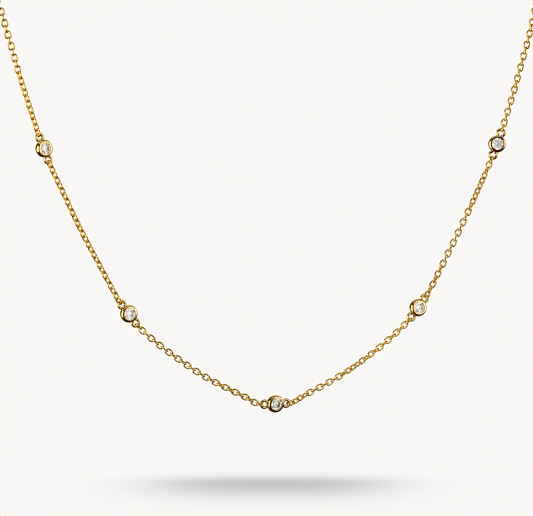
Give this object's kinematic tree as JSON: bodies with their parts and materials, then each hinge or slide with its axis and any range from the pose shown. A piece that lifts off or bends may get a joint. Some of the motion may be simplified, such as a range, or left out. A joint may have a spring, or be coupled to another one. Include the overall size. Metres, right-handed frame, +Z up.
{
  "type": "cubic zirconia necklace",
  "caption": "Fine gold cable-chain necklace, worn form, with round clear stones in plain bezels spaced along the front and a plain barrel clasp at the nape.",
  "frame": {"origin": "where the clasp bears on the nape of the neck, at the middle of the back of the loop", "axes": "+X to the right of someone who faces the wearer, +Z up along the neck, and the stones hang at the front, at -Y"},
  "size_m": [0.1244, 0.0756, 0.1015],
  "materials": {
    "chain_gold": "polished yellow gold plate on fine round wire",
    "bezel_gold": "high polish yellow gold plate with a burnished rim",
    "clear_stone": "clear, faceted, highly refractive",
    "clasp_gold": "polished yellow gold plate"
  },
  "bodies": {
    "root": {"chain_clasp_to_1": "chain_gold", "chain_1_to_2": "chain_gold", "chain_2_to_3": "chain_gold", "chain_3_to_4": "chain_gold", "chain_4_to_5": "chain_gold", "chain_5_to_clasp": "chain_gold", "bezel_1": "bezel_gold", "bezel_2": "bezel_gold", "bezel_3": "bezel_gold", "bezel_4": "bezel_gold", "bezel_5": "bezel_gold", "stone_1": "clear_stone", "stone_2": "clear_stone", "stone_3": "clear_stone", "stone_4": "clear_stone", "stone_5": "clear_stone", "clasp": "clasp_gold"}
  },
  "joints": []
}
